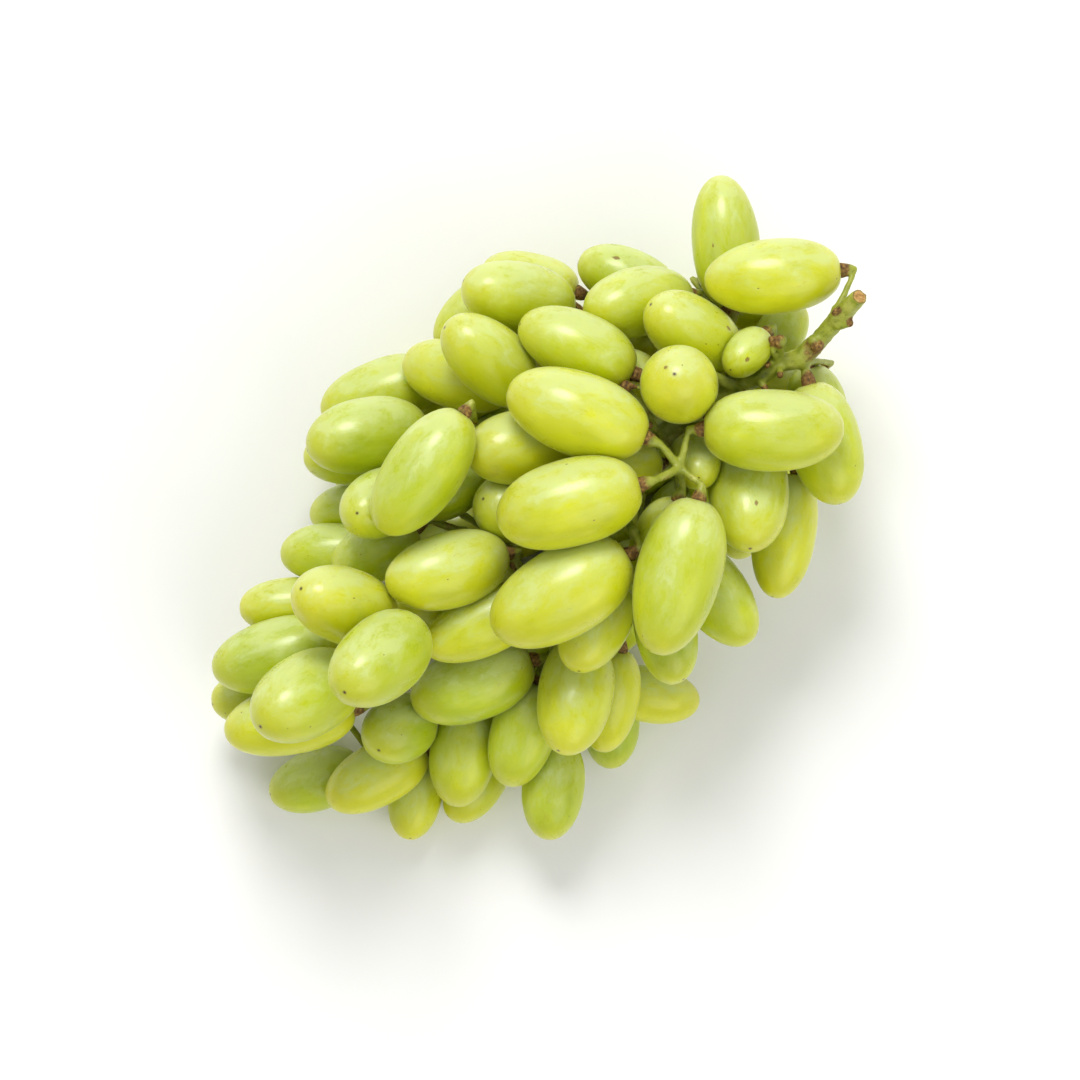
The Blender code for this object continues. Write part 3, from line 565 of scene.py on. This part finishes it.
def stalkBark():
    # fresh stalk: smooth green rind that turns brown and corky at joints, seats and the cut
    made, tree, rind = newMaterial("greenStalkRind")
    s = stalkShape
    blend = {"data_type": "RGBA"}
    place = addNode(tree, "ShaderNodeTexCoord", None, "Object")
    wood = addNode(tree, "ShaderNodeAttribute", {"attribute_name": "woodiness"}, "Fac")
    cut = addNode(tree, "ShaderNodeAttribute", {"attribute_name": "cutFace"}, "Fac")
    blotch = addNode(tree, "ShaderNodeTexNoise", Vector=place, Scale=1 / s["blotches"], Detail=4.0,
                     Roughness=0.6)
    fine = addNode(tree, "ShaderNodeTexNoise", Vector=place, Scale=1 / s["flecks"], Detail=3.0)
    green = addNode(tree, "ShaderNodeValToRGB", i0=blotch, settings={"stops": [
        (0.3, "#78841E"), (0.5, "#98A034"), (0.72, "#BABC5C")]})
    brown = addNode(tree, "ShaderNodeValToRGB", i0=fine, settings={"stops": [
        (0.3, "#4A3416"), (0.5, "#7A5826"), (0.72, "#A88846")]})
    edge = addNode(tree, "ShaderNodeMath", {"operation": "MULTIPLY_ADD"}, i0=blotch, i1=1.0,
                   i2=-0.5)
    edge = addNode(tree, "ShaderNodeMath", {"operation": "ADD"}, i0=edge, i1=wood)
    mask = addNode(tree, "ShaderNodeValToRGB", i0=edge, settings={"stops": [
        (0.3, 0.0), (0.55, 1.0)]})
    colour = addNode(tree, "ShaderNodeMix", blend, 2, i0=mask, i6=green, i7=brown)
    # pin holes and flecks in the rind
    pits = addNode(tree, "ShaderNodeValToRGB", i0=fine, settings={"stops": [
        (0.3, 0.35), (0.4, 0.0)]})
    colour = addNode(tree, "ShaderNodeMix", blend, 2, i0=pits, i6=colour, i7=rgb("#4A3414"))
    # the cut shows pale dry wood, darker towards its rim
    dry = addNode(tree, "ShaderNodeValToRGB", i0=fine, settings={"stops": [
        (0.3, "#A57B3E"), (0.55, "#C49A58"), (0.75, "#D8B87C")]})
    colour = addNode(tree, "ShaderNodeMix", blend, 2, i0=cut, i6=colour, i7=dry)
    tree.links.new(colour, rind.inputs["Base Color"])
    rough = addNode(tree, "ShaderNodeValToRGB", i0=mask, settings={"stops": [
        (0.0, 0.45), (1.0, 0.8)]})
    tree.links.new(rough, rind.inputs["Roughness"])
    height = addNode(tree, "ShaderNodeMath", {"operation": "MULTIPLY_ADD"}, i0=fine, i1=0.5,
                     i2=blotch)
    bump = addNode(tree, "ShaderNodeBump", Strength=0.5, Distance=0.2 * mm, Height=height)
    tree.links.new(bump, rind.inputs["Normal"])
    rind.inputs["Subsurface Weight"].default_value = 0.25
    rind.inputs["Subsurface Radius"].default_value = (1.0, 0.8, 0.3)
    rind.inputs["Subsurface Scale"].default_value = 0.8 * mm
    return made


# matrix that stands a shape made along +Z at a point, facing a way
def placeAt(point, way):
    turn = Vector((0, 0, 1)).rotation_difference(Vector(way)).to_matrix().to_4x4()
    return Matrix.Translation(point) @ turn


# a straight piece of stem between two points
def addRod(target, first, last, firstRadius, lastRadius, sides=10):
    way = last - first
    middle = placeAt((first + last) / 2, way)
    bmesh.ops.create_cone(target, cap_ends=True, segments=sides, radius1=firstRadius,
                          radius2=lastRadius, depth=way.length, matrix=middle)


# the flared ring under a berry, sunk a little in its dimple
def addSeat(target, berry):
    pole = Vector(skinPoints(berry, np.array([[0.0, 0.0, -1.0]]))[0])
    berry["pole"] = pole
    back = -berry["axis"]
    s = stalkShape
    rim = pole - back * s["seatSink"]
    addRod(target, pole + back * s["seatHeight"], rim + back * 0.9 * s["ringHeight"],
           s["neckRadius"], s["seatRadius"] * s["neckFoot"], 12)
    addRod(target, rim + back * s["ringHeight"], rim, s["seatRadius"] * s["ringTop"],
           s["seatRadius"], 14)


# moves a twig's point out of any berry that it falls in
def pushClear(point, radius):
    for attempt in range(6):
        for berry in allBerries:
            if (point - berry["centre"]).length > berry["half"] + radius:
                continue
            depth = float(depthIn(berry, np.array([point]))[0])
            wanted = 1 + radius / berry["wide"]
            if depth < wanted:
                # mostly sideways, and a little towards the berry's nearer end
                along = (point - berry["centre"]).dot(berry["axis"])
                side = point - berry["centre"] - berry["axis"] * along * 0.7
                point = point + side.normalized() * (wanted - depth) * berry["wide"]
    return point


# builds each twig from where it leaves the solid stem
def addTwigs(target):
    for points, rootRadius, tipRadius, knob in twigs:
        places = [Vector(p) * mm + placedFrom for p in points]
        places[0] = stemPoints.find(places[0])[0]
        ends = [places[0]] + [pushClear(p, tipRadius * mm) for p in places[1:]]
        radii = np.linspace(rootRadius, tipRadius, len(ends)) * mm
        for k in range(len(ends) - 1):
            addRod(target, ends[k], ends[k + 1], radii[k], radii[k + 1])
            bmesh.ops.create_icosphere(target, subdivisions=2, radius=radii[k],
                                       matrix=Matrix.Translation(ends[k]))
        if knob > 0:
            bmesh.ops.create_icosphere(target, subdivisions=2, radius=knob * mm,
                                       matrix=Matrix.Translation(ends[-1]))
        woody.append((ends[-1], stalkShape["brownTip"]))


# the solid stem with its twigs and seats, melted into one skin, rounded, grained and cut
def fineStems():
    s = stalkShape
    bm = bmesh.new()
    bm.from_mesh(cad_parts["stems"].data)
    bmesh.ops.remove_doubles(bm, verts=bm.verts, dist=mergeWithin)
    addTwigs(bm)
    for berry in allBerries:
        addSeat(bm, berry)
        woody.append((berry["pole"] - berry["axis"] * 0.3 * mm, s["brownSeat"]))
    rough = newPiece("roughStems", bm, rindMaterial)
    remesh = rough.modifiers.new("remesh", "REMESH")
    remesh.mode = "VOXEL"
    remesh.voxel_size = s["voxel"]
    bpy.context.view_layer.update()
    graph = bpy.context.evaluated_depsgraph_get()
    bm = bmesh.new()
    bm.from_mesh(bpy.data.meshes.new_from_object(rough.evaluated_get(graph)))
    bpy.data.objects.remove(rough)
    for turn in range(s["rounding"]):
        bmesh.ops.smooth_vert(bm, verts=bm.verts, factor=0.5, use_axis_x=True, use_axis_y=True,
                              use_axis_z=True)
    bm.normal_update()
    brown = kdtree.KDTree(len(woody))
    for k, (point, reach) in enumerate(woody):
        brown.insert(point, k)
    brown.balance()
    woodLayer = bm.verts.layers.float.new("woodiness")
    cutLayer = bm.verts.layers.float.new("cutFace")
    for v in bm.verts:
        number, near = brown.find(v.co)[1:]
        wood = math.exp(-(near / woody[number][1]) ** 2)
        patch = max(0.0, noise.noise(v.co / s["knotSize"] + Vector((9, 4, 2))) - 0.1)
        lump = noise.noise(v.co / s["grainSize"]) * s["grain"] * (1 + 2 * wood)
        v.co += v.normal * (s["fatter"] + lump + patch * s["knots"])
        v[woodLayer] = min(1.0, wood + 0.8 * patch)
        v.co.z = max(v.co.z, 0.0)
    # the cut end, sawn square and then given a thin rim of bark
    everything = bm.verts[:] + bm.edges[:] + bm.faces[:]
    bmesh.ops.bisect_plane(bm, geom=everything, plane_co=cutCentre - cutWay * s["cutBack"],
                           plane_no=cutWay, clear_outer=True)
    rim = [e for e in bm.edges if e.is_boundary]
    made = bmesh.ops.holes_fill(bm, edges=rim, sides=0)
    inner = bmesh.ops.inset_region(bm, faces=made["faces"], thickness=s["cutRim"], depth=0.0)
    for face in made["faces"]:
        for v in face.verts:
            v[cutLayer] = 1.0
    for face in inner["faces"]:
        for v in face.verts:
            if v[cutLayer] < 0.5:
                v[woodLayer] = 0.75
    return newPiece("stalk", bm, rindMaterial)


# places where the rind is brown, and how far the brown reaches
woody = []
rindMaterial = stalkBark()
stalkPiece = fineStems()
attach(stalkPiece, "root")
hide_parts("stems")
print("stalk made:", len(stalkPiece.data.polygons), "faces")


# floor, light and camera

studio = {
    "roll": 35.0,              # the bunch lies turned this far in the picture, degrees
    "cameraHeight": 1.0,
    "aim": (-3.63 * mm, -0.59 * mm, 34 * mm),
    "lens": 161.0,
    "floor": "#F6F6F4",
    "sky": 0.56,
    # watts, size, and place: up and to the right in the picture, and height over the floor
    "key": (6.6, 0.4, (0.62, -0.1, 0.8)),
    "fill": (3.4, 0.9, (-0.6, 0.5, 0.7)),
    "lightAim": (0, 0, 0.03),
}


def paleFloor():
    made, tree, paint = newMaterial("palePaintedBoard")
    paint.inputs["Base Color"].default_value = rgb(studio["floor"])
    paint.inputs["Roughness"].default_value = 0.8
    bm = bmesh.new()
    bmesh.ops.create_grid(bm, x_segments=2, y_segments=2, size=3.0)
    floor = newPiece("floor", bm, made)


def areaLight(name, power, size, place):
    light = bpy.data.lights.new(name, "AREA")
    light.shape = "DISK"
    light.size = size
    light.energy = power
    lamp = bpy.data.objects.new(name, light)
    bpy.context.scene.collection.objects.link(lamp)
    roll = math.radians(studio["roll"])
    up = Vector((math.sin(roll), math.cos(roll), 0))
    side = Vector((up.y, -up.x, 0))
    lamp.location = up * place[0] + side * place[1] + Vector((0, 0, place[2]))
    way = Vector(studio["lightAim"]) - lamp.location
    lamp.rotation_euler = way.to_track_quat("-Z", "Y").to_euler()


def studioLight():
    areaLight("keyLight", *studio["key"])
    areaLight("fillLight", *studio["fill"])
    world = bpy.data.worlds.new("studio")
    bpy.context.scene.world = world
    world.use_nodes = True
    sky = world.node_tree.nodes["Background"]
    sky.inputs["Color"].default_value = rgb("#FFFFFF")
    sky.inputs["Strength"].default_value = studio["sky"]


def photoCamera():
    lens = bpy.data.cameras.new("camera")
    lens.lens = studio["lens"]
    lens.sensor_width = 36.0
    lens.clip_start = 0.05
    camera = bpy.data.objects.new("camera", lens)
    bpy.context.scene.collection.objects.link(camera)
    camera.location = (studio["aim"][0], studio["aim"][1], studio["cameraHeight"])
    camera.rotation_euler = (0, 0, -math.radians(studio["roll"]))
    bpy.context.scene.camera = camera


paleFloor()
studioLight()
photoCamera()
bpy.context.scene.view_settings.view_transform = "Standard"
print("floor, light and camera ready")
